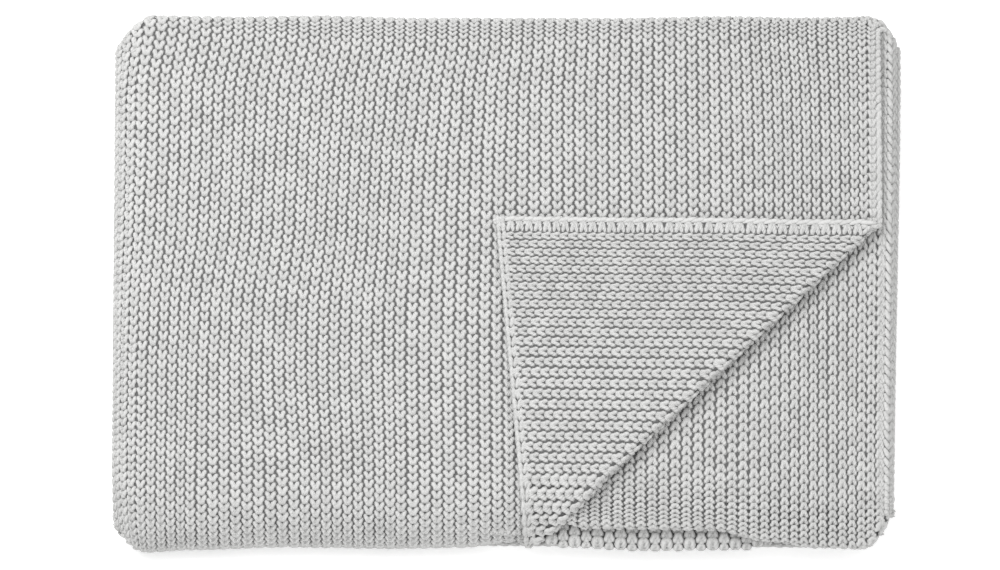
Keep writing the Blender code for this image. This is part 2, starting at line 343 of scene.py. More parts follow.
    def turn_corner(self, across: np.ndarray, along: np.ndarray) -> tuple[np.ndarray, ...]:
        """Roll the corner back over the top layer.

        Args:
            across: The places across the cloth.
            along: The places along it.

        Returns:
            The places that the points come to lie over, and their lift off the layer.
        """
        point = np.stack([across, along], axis=1) - self.roll_side
        beyond = point @ self.toward_corner
        run = point @ self.down_line
        radius = self.nose_radius
        turn = beyond / radius
        half_turn = math.pi * radius
        share = (beyond - half_turn) / (self.corner_flat[1] - half_turn)
        slide = (self.corner_laid[0] - self.corner_flat[0]) * share
        laid = turn >= math.pi
        rolling = (beyond > 0.0) & ~laid
        out = np.where(laid, self.corner_laid[1] * share, radius * np.sin(np.clip(turn, 0.0, math.pi)))
        lift = np.where(laid, 2.0 * radius, radius * (1.0 - np.cos(np.clip(turn, 0.0, math.pi))))
        run = run + np.where(laid, slide, 0.0)
        moved = self.roll_side + run[:, None] * self.down_line + out[:, None] * self.toward_corner
        turned = laid | rolling
        changes = ((moved[:, 0], across), (moved[:, 1], along), (lift, 0.0))
        return tuple(np.where(turned, after, before) for after, before in changes)

    def place(self, across: np.ndarray, along: np.ndarray) -> np.ndarray:
        """Place points of the flat cloth's middle in the folded pack.

        Args:
            across: The places across the cloth.
            along: The places along it.

        Returns:
            The points, with the origin under the middle of the pack.
        """
        across, along, lift = self.turn_corner(across, np.maximum(along, 0.0))
        along = np.maximum(along, 0.0)
        section = np.clip(np.searchsorted(self.section_ends, along - 1e-9), 0, len(self.section_ends) - 1)
        starts = self.section_ends - self.section_lengths
        share = np.clip((along - starts[section]) / self.section_lengths[section], 0.0, 1.0)
        points = np.zeros((len(across), 3))
        for index in np.unique(section):
            here = section == index
            given = (part[here] for part in (across, along, share, lift))
            points[here] = self._place_section(int(index), *given)
        points[:, 2] *= self.height_left(points[:, 0], points[:, 1])
        return points - np.array(self.base_middle)

    def height_left(self, x: np.ndarray, y: np.ndarray) -> np.ndarray:
        """Find how much of its height the pack keeps where its near side sags.

        Args:
            x: Where across the pack.
            y: Where along the pack.

        Returns:
            The share that is left.
        """
        toward = np.clip((self.sag_start_y - y) / (self.sag_start_y - self.sag_end_y), 0.0, 1.0)
        fall = 1.0 - np.sqrt(1.0 - (self.sag_steepness * toward) ** 2)
        return 1.0 - self.sag_share * fall * smooth_step(self.sag_left_x, self.sag_full_x, x)

    def _place_section(
        self, index: int, across: np.ndarray, along: np.ndarray, share: np.ndarray, lift: np.ndarray
    ) -> np.ndarray:
        """Place points of one section.

        Args:
            index: The section: the drop is 0, and panels and folds take turns after it.
            across: The places across the cloth.
            along: The places along it.
            share: How far along the section they are.
            lift: How far off the layer.

        Returns:
            The points, before the near side sags.
        """
        if index == 0:
            return self.drop_place(across, along, lift)
        tip_inset = self.nose_radius + self.half_thickness
        tips = (
            self.far_side(across, 0.5) - tip_inset,
            self.near_side(across, 1.5, self.upper_near_fold, self.lower_near_fold) + tip_inset,
            self.far_side(across, 2.5) - tip_inset,
        )
        layer, is_nose = divmod(index - 1, 2)
        if is_nose:
            side = 1.0 if layer % 2 == 0 else -1.0
            angle = math.pi * share
            y = tips[layer] + side * self.nose_radius * np.sin(angle)
            x, z = self.section_place(across, layer + 0.5 - 0.5 * np.cos(angle), y)
            return np.stack([x, y, z], axis=1)
        hem = self.near_side(across, self.panels - 1.0, self.upper_hem, self.lower_hem)
        ends = (self.drop_start(across), *tips, hem)
        y = mix(ends[layer], ends[layer + 1], share)
        x, z = self.section_place(across, np.full(len(across), float(layer)), y)
        return np.stack([x, y, z + lift], axis=1)

    def normal(self, across: np.ndarray, along: np.ndarray, step: float = 0.0004) -> np.ndarray:
        """Find which way the cloth's front face looks.

        Args:
            across: The places across the cloth.
            along: The places along it.
            step: How far apart on the cloth the surface is compared.

        Returns:
            The unit normals.
        """
        low = np.clip(across - step, -self.half_width, self.half_width)
        high = np.clip(across + step, -self.half_width, self.half_width)
        over = self.place(high, along) - self.place(low, along)
        low = np.clip(along - step, 0.0, self.length)
        high = np.clip(along + step, 0.0, self.length)
        up = self.place(across, high) - self.place(across, low)
        return unit(np.cross(over, up))

    def surface(self, across: np.ndarray, along: np.ndarray, offset: np.ndarray) -> np.ndarray:
        """Return points that stand off the cloth's middle by offset."""
        return self.place(across, along) + offset[:, None] * self.normal(across, along)


@dataclass
class StitchPlaces:
    """Where stitches of one kind lie: their points, turns and stretches."""

    points: np.ndarray
    turns: np.ndarray
    stretches: np.ndarray

    def pick(self, chosen: np.ndarray) -> "StitchPlaces":
        """Return only the chosen stitches."""
        return StitchPlaces(self.points[chosen], self.turns[chosen], self.stretches[chosen])

    def sized(self, fit: "LinkFit") -> "StitchPlaces":
        """Return the same places, with links of the given fit."""
        own = self.stretches[:, [1, 0, 2]] if fit.crosswise else self.stretches
        return StitchPlaces(self.points, self.turns, own * np.array(fit.shares) + np.array(fit.sizes))

    @staticmethod
    def joined(parts: list["StitchPlaces"]) -> "StitchPlaces":
        """Join the places of several runs."""
        names = ("points", "turns", "stretches")
        return StitchPlaces(*(np.concatenate([getattr(part, name) for part in parts]) for name in names))


@dataclass(frozen=True)
class LinkFit:
    """A link's width, length and height: shares of the knit's own stretch, plus fixed sizes.

    A crosswise link lies along the rows, so it takes the knit's own stretch the other way round.
    """

    shares: tuple[float, float, float]
    sizes: tuple[float, float, float]
    crosswise: bool = False


def turns_from_axes(side: np.ndarray, forward: np.ndarray, out: np.ndarray) -> np.ndarray:
    """Return the turns, as w, x, y and z, that take x, y and z to side, forward and out."""
    axes = np.stack([side, forward, out], axis=2)
    return np.array([tuple(Matrix(rows).to_quaternion()) for rows in axes.tolist()])


def linear(hex_colour: str) -> tuple[float, float, float, float]:
    """Turn an sRGB hex colour into linear values.

    Args:
        hex_colour: Six hex digits.

    Returns:
        Red, green, blue and alpha.
    """
    parts = [int(hex_colour[i : i + 2], 16) / 255 for i in (0, 2, 4)]
    red, green, blue = (p / 12.92 if p <= 0.04045 else ((p + 0.055) / 1.055) ** 2.4 for p in parts)
    return red, green, blue, 1.0


def add_node(
    tree: bpy.types.NodeTree, kind: str, inputs: dict | None = None, **settings: object
) -> bpy.types.Node:
    """Add a node.

    Args:
        tree: The node tree.
        kind: The node's type.
        inputs: By name or number, an input's value, or the output that is linked to it.
        settings: The node's properties.

    Returns:
        The node.
    """
    node = tree.nodes.new(kind)
    for name, value in settings.items():
        setattr(node, name, value)
    for name, value in (inputs or {}).items():
        if isinstance(value, bpy.types.NodeSocket):
            tree.links.new(value, node.inputs[name])
        else:
            node.inputs[name].default_value = value
    return node


def add_noise(
    tree: bpy.types.NodeTree, scale: float, detail: float, roughness: float = 0.5
) -> bpy.types.NodeSocket:
    """Add a noise on the object's own coordinates.

    Args:
        tree: The material's tree.
        scale: How many swells there are in a metre.
        detail: How many finer layers it has.
        roughness: How strong those are.

    Returns:
        The noise's value.
    """
    places = add_node(tree, "ShaderNodeTexCoord").outputs["Object"]
    inputs = {"Vector": places, "Scale": scale, "Detail": detail, "Roughness": roughness}
    return add_node(tree, "ShaderNodeTexNoise", inputs).outputs["Fac"]


def add_bump(
    tree: bpy.types.NodeTree, height: bpy.types.NodeSocket, strength: float, distance: float
) -> bpy.types.Node:
    """Add a bump node, with its distance in metres."""
    inputs = {"Height": height, "Strength": strength, "Distance": distance}
    return add_node(tree, "ShaderNodeBump", inputs)


def new_material(name: str, values: dict) -> tuple[bpy.types.Material, bpy.types.Node]:
    """Make a material.

    Args:
        name: Its name.
        values: Its shader's input values, by name.

    Returns:
        The material and its shader.
    """
    material = bpy.data.materials.new(name)
    material.use_nodes = True
    shader = material.node_tree.nodes["Principled BSDF"]
    for socket, value in values.items():
        shader.inputs[socket].default_value = value
    return material, shader


def add_object(name: str, data: bpy.types.ID) -> bpy.types.Object:
    """Add an object to the scene.

    Args:
        name: The object's name.
        data: Its mesh, camera or light.

    Returns:
        The object.
    """
    made = bpy.data.objects.new(name, data)
    bpy.context.scene.collection.objects.link(made)
    return made


def add_mesh(name: str, built: bmesh.types.BMesh) -> bpy.types.Object:
    """Add a built shape to the scene.

    Args:
        name: The object's name.
        built: The shape, which is freed.

    Returns:
        The object.
    """
    mesh = bpy.data.meshes.new(name)
    built.to_mesh(mesh)
    built.free()
    return add_object(name, mesh)


def make_plain(piece: bpy.types.Object, modifier: bpy.types.Modifier) -> None:
    """Make what a modifier gives the object's own plain mesh.

    Args:
        piece: The object.
        modifier: Its only modifier, which is removed.
    """
    bpy.context.view_layer.update()
    graph = bpy.context.evaluated_depsgraph_get()
    made = bpy.data.meshes.new_from_object(piece.evaluated_get(graph))
    piece.modifiers.remove(modifier)
    before, piece.data = piece.data, made
    bpy.data.meshes.remove(before)
    made.name = piece.name


@dataclass(frozen=True)
class YarnFinish:
    """Soft plied cotton yarn, pale neutral grey.

    Cotton scatters light in its fuzz, so it is matt with a faint sheen at grazing angles. Its plies show
    as fine slanting ridges, four round the yarn and one turn in 3 mm, and its fibres as a 0.9 mm grain.
    Each stitch has a tone of its own, and clouds about 26 mm wide go over the whole throw.
    """

    name: str = "Plied cotton yarn"
    pale: str = "C4C4C3"
    deep: str = "BABAB9"
    roughness: float = 0.88
    sheen: float = 0.08
    cloud_scale: float = 38.0
    cloud_share: float = 0.4
    plies: float = 4.0
    twist_per_metre: float = 330.0
    ply_depth: float = 0.00022
    grain_size: float = 0.0009
    grain_depth: float = 0.00042

    def material(self) -> bpy.types.Material:
        """Build the yarn's material, with a tone for each stitch and a cloudiness over all.

        Returns:
            The material.
        """
        values = {
            "Roughness": self.roughness,
            "IOR": 1.5,
            "Specular IOR Level": 0.25,
            "Sheen Weight": self.sheen,
            "Sheen Roughness": 0.5,
        }
        material, shader = new_material(self.name, values)
        tree = material.node_tree
        tone = add_node(tree, "ShaderNodeAttribute", attribute_name="tone").outputs["Fac"]
        cloud = {0: add_noise(tree, self.cloud_scale, 2.0), 1: self.cloud_share}
        cloud = add_node(tree, "ShaderNodeMath", cloud, operation="MULTIPLY").outputs[0]
        both = add_node(tree, "ShaderNodeMath", {0: tone, 1: cloud}, operation="ADD", use_clamp=True)
        shades = {0: both.outputs[0], 6: linear(self.deep), 7: linear(self.pale)}
        colour = add_node(tree, "ShaderNodeMix", shades, data_type="RGBA")
        tree.links.new(colour.outputs[2], shader.inputs["Base Color"])
        tree.links.new(self._bump(tree), shader.inputs["Normal"])
        return material

    def _bump(self, tree: bpy.types.NodeTree) -> bpy.types.NodeSocket:
        """Add the plies and the grain.

        Args:
            tree: The material's tree.

        Returns:
            The bumped normal.
        """
        turns = (2 * math.pi * self.plies, 2 * math.pi * self.twist_per_metre, 0.0)
        along_yarn = {0: add_node(tree, "ShaderNodeUVMap", uv_map="yarn").outputs[0], 1: turns}
        phase = add_node(tree, "ShaderNodeVectorMath", along_yarn, operation="DOT_PRODUCT")
        plies = add_node(tree, "ShaderNodeMath", {0: phase.outputs["Value"]}, operation="SINE")
        ridges = add_bump(tree, plies.outputs[0], 0.8, self.ply_depth)
        fuzz = add_bump(tree, add_noise(tree, 1.0 / self.grain_size, 3.0, 0.6), 0.7, self.grain_depth)
        tree.links.new(ridges.outputs["Normal"], fuzz.inputs["Normal"])
        return fuzz.outputs["Normal"]


@dataclass(frozen=True)
class CoreShade:
    """The inside of the knit, seen only between stitches: its dark grey is painted shade for the deep gaps
    there, where little light comes.
    """

    name: str = "Knit core"
    # painted shade: this dark grey stands in for the shade that falls deep between the stitches
    painted_shade: str = "5C5C5C"
    roughness: float = 0.95
    tangle_scale: float = 450.0
    tangle_depth: float = 0.0006

    def material(self) -> bpy.types.Material:
        """Build the core's material: dark grey painted shade, bumped as a loose tangle of yarn about 2 mm
        across.

        Returns:
            The material.
        """
        values = {"Base Color": linear(self.painted_shade), "Roughness": self.roughness}
        material, shader = new_material(self.name, values)
        tree = material.node_tree
        bump = add_bump(tree, add_noise(tree, self.tangle_scale, 2.0), 0.8, self.tangle_depth)
        tree.links.new(bump.outputs["Normal"], shader.inputs["Normal"])
        return material


@dataclass(frozen=True)
class HeartStation:
    """A cross-section of a stitch: its place along it, then its half width, lobes and heights."""

    y: float
    half_width: float
    lobe: float
    crest: float
    dip: float
    side: float


@dataclass(frozen=True)
class BeadStation:
    """A cross-section of an edge link: its place along it and its radius."""

    y: float
    radius: float


RingPoint = tuple[float, float, float, float]


@dataclass
class YarnShapes:
    """The low shapes that stitches are made of, at the knit's own pitch, in metres."""

    heart: tuple[HeartStation, ...] = (
        HeartStation(0.0043, 0.0039, 0.0021, -0.0002, -0.0026, -0.0011),
        HeartStation(0.0030, 0.0050, 0.0018, 0.0013, -0.0024, -0.0004),
        HeartStation(0.0013, 0.0047, 0.0016, 0.0019, -0.0008, -0.0002),
        HeartStation(-0.0009, 0.0034, 0.0013, 0.0021, 0.0016, 0.0000),
        HeartStation(-0.0034, 0.0028, 0.0011, 0.0017, 0.0015, -0.0002),
    )
    plain_heart: tuple[HeartStation, ...] = (
        HeartStation(0.0033, 0.0048, 0.0021, 0.0008, -0.0022, -0.0004),
        HeartStation(0.0011, 0.0046, 0.0017, 0.0019, 0.0000, -0.0001),
        HeartStation(-0.0030, 0.0029, 0.0011, 0.0018, 0.0016, -0.0001),
    )
    bump: tuple[HeartStation, ...] = (
        HeartStation(0.0040, 0.0028, 0.0016, 0.0002, -0.0016, -0.0010),
        HeartStation(0.0027, 0.0043, 0.0018, 0.0018, -0.0014, -0.0004),
        HeartStation(0.0002, 0.0049, 0.0015, 0.0027, -0.0002, 0.0002),
        HeartStation(-0.0024, 0.0040, 0.0013, 0.0023, 0.0021, 0.0000),
        HeartStation(-0.0038, 0.0025, 0.0009, 0.0010, 0.0010, -0.0004),
    )
    heart_top: tuple[float, float, float] = (0.0, 0.0042, -0.0020)
    heart_tip: tuple[float, float, float] = (0.0, -0.0041, -0.0003)
    heart_floor: float = -0.0026
    shoulder: tuple[float, float] = (0.62, 0.72)
    bead: tuple[BeadStation, ...] = (
        BeadStation(-0.0030, 0.0017),
        BeadStation(-0.0012, 0.0024),
        BeadStation(0.0012, 0.0024),
        BeadStation(0.0030, 0.0017),
    )
    bead_reach: float = 0.0046
    bead_flatness: float = 0.78
    bead_sides: tuple[float, ...] = (90.0, 162.0, 234.0, 306.0, 18.0)

    def stitch(self, name: str, stations: tuple[HeartStation, ...]) -> bpy.types.Object:
        """Make one stitch: two plump limbs that merge into a rounded point at -y."""
        rings = [self._heart_ring(station) for station in stations]
        return self._skin(name, rings, self.heart_top, self.heart_tip)

    def link(self, name: str) -> bpy.types.Object:
        """Make one link of an edge strand, which lies along y."""
        rings = [self._bead_ring(station) for station in self.bead]
        return self._skin(name, rings, (0.0, -self.bead_reach, 0.0), (0.0, self.bead_reach, 0.0))

    def _heart_ring(self, station: HeartStation) -> list[RingPoint]:
        """Lay out a stitch's cross-section.

        Args:
            station: The station's sizes.

        Returns:
            Its points, each with its share of the way over a limb.
        """
        out, up = self.shoulder
        shoulder_x = mix(station.lobe, station.half_width, out)
        shoulder_z = mix(station.side, station.crest, up)
        right = [
            (station.half_width, station.side, 0.5),
            (shoulder_x, shoulder_z, 0.36),
            (station.lobe, station.crest, 0.22),
        ]
        left = [(-x, z, share) for x, z, share in reversed(right)]
        ring = [*right, (0.0, station.dip, 0.0), *left, (0.0, self.heart_floor, 0.5)]
        return [(x, station.y, z, share) for x, z, share in ring]

    def _bead_ring(self, station: BeadStation) -> list[RingPoint]:
        """Lay out a link's cross-section.

        Args:
            station: The station's sizes.

        Returns:
            Its points, each with its share of the way round.
        """
        ring = []
        for degrees in self.bead_sides:
            angle = math.radians(degrees)
            x = math.cos(angle) * station.radius
            z = math.sin(angle) * station.radius * self.bead_flatness
            ring.append((x, station.y, z, abs((degrees - 90.0 + 180.0) % 360.0 - 180.0) / 360.0))
        return ring

    @staticmethod
    def _skin(
        name: str,
        rings: list[list[RingPoint]],
        start: tuple[float, float, float],
        end: tuple[float, float, float],
    ) -> bpy.types.Object:
        """Close a smooth skin over rings of points.

        Args:
            name: The shape's name.
            rings: The rings, with as many points in each.
            start: The pole before the first ring.
            end: The pole after the last ring.

        Returns:
            The shape.
        """
        built = bmesh.new()
        layer = built.loops.layers.uv.new("yarn")
        over_yarn = {}
        made = []
        for ring in rings:
            vertices = []
            for x, y, z, share in ring:
                vertex = built.verts.new((x, y, z))
                over_yarn[vertex] = (share, y)
                vertices.append(vertex)
            made.append(vertices)
        poles = [built.verts.new(start), built.verts.new(end)]
        over_yarn[poles[0]], over_yarn[poles[1]] = (0.25, start[1]), (0.25, end[1])
        count = len(made[0])
        for k in range(count):
            after = (k + 1) % count
            built.faces.new((poles[0], made[0][after], made[0][k]))
            for lower, upper in zip(made, made[1:]):
                built.faces.new((lower[k], lower[after], upper[after], upper[k]))
            built.faces.new((poles[1], made[-1][k], made[-1][after]))
        for face in built.faces:
            face.smooth = True
            for loop in face.loops:
                loop[layer].uv = over_yarn[loop.vert]
        bmesh.ops.recalc_face_normals(built, faces=built.faces)
        return add_mesh(name, built)


@dataclass
class StitchSetter:
    """Sets a stitch shape on every stored place, through a Geometry Nodes tree."""

    unevenness: float = 0.05
    lean: float = 0.07

    def __post_init__(self) -> None:
        """Build the tree once."""
        tree = bpy.data.node_groups.new("Set stitches", "GeometryNodeTree")
        for name, kind in (
            ("Geometry", "NodeSocketGeometry"),
            ("Stitch", "NodeSocketObject"),
            ("Unevenness", "NodeSocketFloat"),
            ("Lean", "NodeSocketFloat"),
            ("Seed", "NodeSocketInt"),
            ("Yarn", "NodeSocketMaterial"),
        ):
            tree.interface.new_socket(name, in_out="INPUT", socket_type=kind)
        tree.interface.new_socket("Geometry", in_out="OUTPUT", socket_type="NodeSocketGeometry")
        given = add_node(tree, "NodeGroupInput")
        self._add_steps(tree, given)
        self.tree = tree

    @staticmethod
    def _add_steps(tree: bpy.types.NodeTree, given: bpy.types.Node) -> None:
        """Add the nodes that turn, stretch and set each stitch.

        Args:
            tree: The tree.
            given: The node that holds its inputs.
        """

        def stored(name: str, kind: str) -> bpy.types.NodeSocket:
            """Return a stored attribute."""
            inputs = {"Name": name}
            return add_node(tree, "GeometryNodeInputNamedAttribute", inputs, data_type=kind).outputs[0]

        def maths(operation: str, first: object, second: object) -> bpy.types.NodeSocket:
            """Return the outcome of an operation."""
            return add_node(tree, "ShaderNodeMath", {0: first, 1: second}, operation=operation).outputs[0]

        def drawn(**ends: bpy.types.NodeSocket) -> bpy.types.NodeSocket:
            """Return a random vector for each stitch."""
            inputs = {**ends, "Seed": sockets["Seed"]}
            return add_node(tree, "FunctionNodeRandomValue", inputs, data_type="FLOAT_VECTOR").outputs[0]

        sockets = given.outputs
        spread, lean = sockets["Unevenness"], sockets["Lean"]
        uneven = drawn(Min=maths("SUBTRACT", 1.0, spread), Max=maths("ADD", 1.0, spread))
        leaning = drawn(Min=maths("MULTIPLY", lean, -1.0), Max=lean)
        stretch = {0: stored("stretch", "FLOAT_VECTOR"), 1: uneven}
        scale = add_node(tree, "ShaderNodeVectorMath", stretch, operation="MULTIPLY")
        turn = {0: stored("turn", "QUATERNION"), 1: leaning}
        turned = add_node(tree, "FunctionNodeRotateRotation", turn, rotation_space="LOCAL")
        shape = add_node(tree, "GeometryNodeObjectInfo", {"Object": sockets["Stitch"]})
        placed = add_node(
            tree,
            "GeometryNodeInstanceOnPoints",
            {
                "Points": sockets["Geometry"],
                "Instance": shape.outputs["Geometry"],
                "Rotation": turned.outputs[0],
                "Scale": scale.outputs[0],
            },
        )
        tone = add_node(tree, "FunctionNodeRandomValue", {"Seed": sockets["Seed"]}, data_type="FLOAT")
        toned = add_node(
            tree,
            "GeometryNodeStoreNamedAttribute",
            {"Geometry": placed.outputs[0], "Name": "tone"},
            data_type="FLOAT",
            domain="INSTANCE",
        )
        tree.links.new(
            next(output for output in tone.outputs if output.enabled),
            next(socket for socket in toned.inputs if socket.name == "Value" and socket.enabled),
        )
        real = add_node(tree, "GeometryNodeRealizeInstances", {0: toned.outputs[0]})
        dress = {"Geometry": real.outputs[0], "Material": sockets["Yarn"]}
        dressed = add_node(tree, "GeometryNodeSetMaterial", dress)
        add_node(tree, "NodeGroupOutput", {"Geometry": dressed.outputs[0]})

    def set(
        self,
        name: str,
        places: StitchPlaces,
        shape: bpy.types.Object,
        yarn: bpy.types.Material,
        seed: int,
    ) -> bpy.types.Object:
        """Set a shape on each place and join them in one mesh.

        Args:
            name: The piece's name.
            places: Where the stitches lie.
            shape: The stitch's shape.
            yarn: The yarn's material.
            seed: The seed for their unevenness.

        Returns:
            The piece.
        """
        mesh = bpy.data.meshes.new(name)
        mesh.from_pydata([tuple(point) for point in places.points], [], [])
        turn = mesh.attributes.new("turn", "QUATERNION", "POINT")
        turn.data.foreach_set("value", places.turns.astype(np.float32).ravel())
        stretch = mesh.attributes.new("stretch", "FLOAT_VECTOR", "POINT")
        stretch.data.foreach_set("vector", places.stretches.astype(np.float32).ravel())
        piece = add_object(name, mesh)
        modifier = piece.modifiers.new("Set stitches", "NODES")
        modifier.node_group = self.tree
        settings = {
            "Stitch": shape,
            "Unevenness": self.unevenness,
            "Lean": self.lean,
            "Seed": seed,
            "Yarn": yarn,
        }
        for item in self.tree.interface.items_tree:
            if item.in_out == "INPUT" and item.name in settings:
                modifier[item.identifier] = settings[item.name]
        make_plain(piece, modifier)
        for unused in ("turn", "stretch"):
            if unused in piece.data.attributes:
                piece.data.attributes.remove(piece.data.attributes[unused])
        return piece


@dataclass(frozen=True)
class Pull:
    """How far hand-laid knit is pulled out of line, in metres, at a few places on the pack."""

    x: tuple[float, ...]
    y: tuple[float, ...]
    moves: tuple[tuple[float, ...], ...]

    def at(self, x: np.ndarray, y: np.ndarray) -> np.ndarray:
        """Read the pull.

        Args:
            x: Where across the pack.
            y: Where along the pack.

        Returns:
            How far the knit is moved there.
        """
        rows = np.array([np.interp(x, self.x, row) for row in self.moves])
        index = np.clip(np.searchsorted(self.y, y) - 1, 0, len(self.y) - 2)
        places = np.array(self.y)
        share = smooth_step(0.0, 1.0, (y - places[index]) / (places[index + 1] - places[index]))
        pick = np.arange(len(x))
        return mix(rows[index, pick], rows[index + 1, pick], share)


@dataclass
class MossLattice:
    """Where the moss stitch's wales and courses run on the flat cloth, in metres.

    A wale is a column of stitches, counted from the side edge of the lower half. A course is a row,
    counted from the cast-on hem, and a stitch is two courses long. Hand-laid knit is uneven: its wales
    crowd together toward the side edges on top, its courses at the folds, its rows slope and its columns
    wander. The reaches say over which lengths each of these fades.
    """

    cloth: FoldedCloth
    wale_pitch: float = 0.00895
    stitch_pitch: float = 0.00736
    wale_pitches: Table = (
        (-0.643, 0.00890), (0.000, 0.00880), (0.085, 0.00860), (0.160, 0.00910),
        (0.340, 0.00930), (0.500, 0.00925), (0.580, 0.00765), (0.643, 0.00680),
    )
    fold_crowding: float = 0.65
    near_crowding: float = 0.05
    far_crowding: float = 0.50
    far_reach: tuple[float, float] = (0.002, 0.015)
    sag_crowding: float = 0.60
    sag_reach: tuple[float, float] = (0.002, 0.048)
    fold_reach: tuple[float, float] = (-0.001, 0.005)
    row_pull: Pull = Pull(
        x=(-0.320, -0.225, -0.145, -0.030, 0.085, 0.195, 0.290),
        y=(-0.130, 0.000, 0.145, 0.205),
        moves=(
            (0.0020, 0.0005, -0.0026, 0.0035, 0.0035, 0.0035, 0.0035),
            (-0.0050, -0.0020, 0.0018, 0.0028, 0.0028, 0.0020, 0.0010),
            (-0.0090, 0.0020, 0.0065, 0.0054, 0.0029, -0.0006, 0.0003),
            (-0.0090, 0.0020, 0.0065, 0.0054, 0.0029, 0.0012, 0.0070),
        ),
    )
    column_pull: Pull = Pull(
        x=(-0.320, -0.252, -0.170, -0.080, 0.040, 0.180, 0.270),
        y=(-0.176, -0.080, -0.045, 0.045, 0.095, 0.145, 0.205),
        moves=(
            (-0.0030, -0.0075, -0.0025, -0.0070, 0.0, 0.0, 0.0),
            (-0.0030, -0.0065, -0.0065, -0.0082, 0.0, 0.0, 0.0),
            (-0.0020, -0.0050, -0.0058, -0.0080, 0.0, 0.0, 0.0),
            (0.0010, 0.0025, 0.0016, -0.0045, 0.0, 0.0, 0.0),
            (0.0020, 0.0042, 0.0033, -0.0025, 0.0, 0.0, 0.0),
            (0.0025, 0.0050, 0.0055, 0.0015, 0.0, -0.0005, -0.0010),
            (0.0090, 0.0125, 0.0130, 0.0085, 0.0025, -0.0015, -0.0045),
        ),
    )
    under_slope: float = 0.085
    under_level_x: float = 0.20
    far_fold: int = 2
    sagging_fold: int = 4
    near_rows: tuple[float, float] = (0.12, 0.22)
    round_side: tuple[float, float] = (-0.04, 0.05)
    hem_rows: float = 0.09
    far_fade: tuple[float, float] = (0.26, 0.56)
    edge_fade: float = 0.08
    wale_samples: int = 2001
    course_samples: int = 4001

    under_rows: tuple[float, float, float, float] = (-0.50, -0.26, -0.02, 0.10)
    under_side: tuple[float, float] = (0.30, 0.40)

    def __post_init__(self) -> None:
        """Count the wales and courses."""
        cloth = self.cloth
        self._across = np.linspace(-cloth.half_width, cloth.half_width, self.wale_samples)
        pitches = table_value(self.wale_pitches, self._across)
        steps = np.diff(self._across) * 2.0 / (pitches[1:] + pitches[:-1])
        counted = np.concatenate([[0.0], np.cumsum(steps)])
        self.wales = round(counted[-1])
        self._wales_counted = counted * self.wales / counted[-1]
        self._along = np.linspace(0.0, cloth.length, self.course_samples)
        crowding = 1.0 + self.near_crowding * (1.0 - 2.0 * smooth_step(*self.near_rows, self._along))
        for nose in range(2, 2 * cloth.panels, 2):
            half_nose = cloth.section_lengths[nose] / 2
            away = np.abs(self._along - cloth.section_ends[nose] + half_nose) - half_nose
            crowding += self.fold_crowding * (1.0 - smooth_step(*self.fold_reach, away))
            if nose == self.far_fold:
                crowding += self.far_crowding * (1.0 - smooth_step(*self.far_reach, away))
            if nose == self.sagging_fold:
                crowding += self.sag_crowding * (1.0 - smooth_step(*self.sag_reach, away))
        steps = np.diff(self._along) * (crowding[1:] + crowding[:-1]) / 2.0 / self.stitch_pitch
        counted = np.concatenate([[0.0], np.cumsum(steps)])
        self.courses = 2 * round(counted[-1])
        self._courses_counted = counted * self.courses / counted[-1]

    def flat_place(self, wale: np.ndarray, course: np.ndarray) -> tuple[np.ndarray, np.ndarray]:
        """Find where a stitch lies on the flat cloth.

        Args:
            wale: The wale, where half counts are wale centres.
            course: The course.

        Returns:
            The places across and along the cloth.
        """
        cloth = self.cloth
        across = np.interp(wale, self._wales_counted, self._across)
        along = np.interp(course, self._courses_counted, self._along)
        x = cloth.fold_centre_x + across - cloth.fold_arc
        y = cloth.drop_top + along - cloth.drop_length
        upper = smooth_step(*self.round_side, across) * (1.0 - smooth_step(*self.far_fade, y))
        on_top = upper * smooth_step(0.0, self.hem_rows, along)
        off_edge = smooth_step(0.0, self.edge_fade, cloth.half_width - across)
        drifting = self.column_pull.at(x, y) * upper * off_edge
        under_y = cloth.top_far - (along - cloth.section_ends[2])
        in_under = 1.0 - smooth_step(*self.under_rows[2:], under_y)
        in_under = in_under * smooth_step(*self.under_rows[:2], under_y)
        in_under = in_under * smooth_step(*self.under_side, across)
        under = self.under_slope * (x - self.under_level_x) * in_under
        return across + drifting, along - self.row_pull.at(x, y) * on_top + under


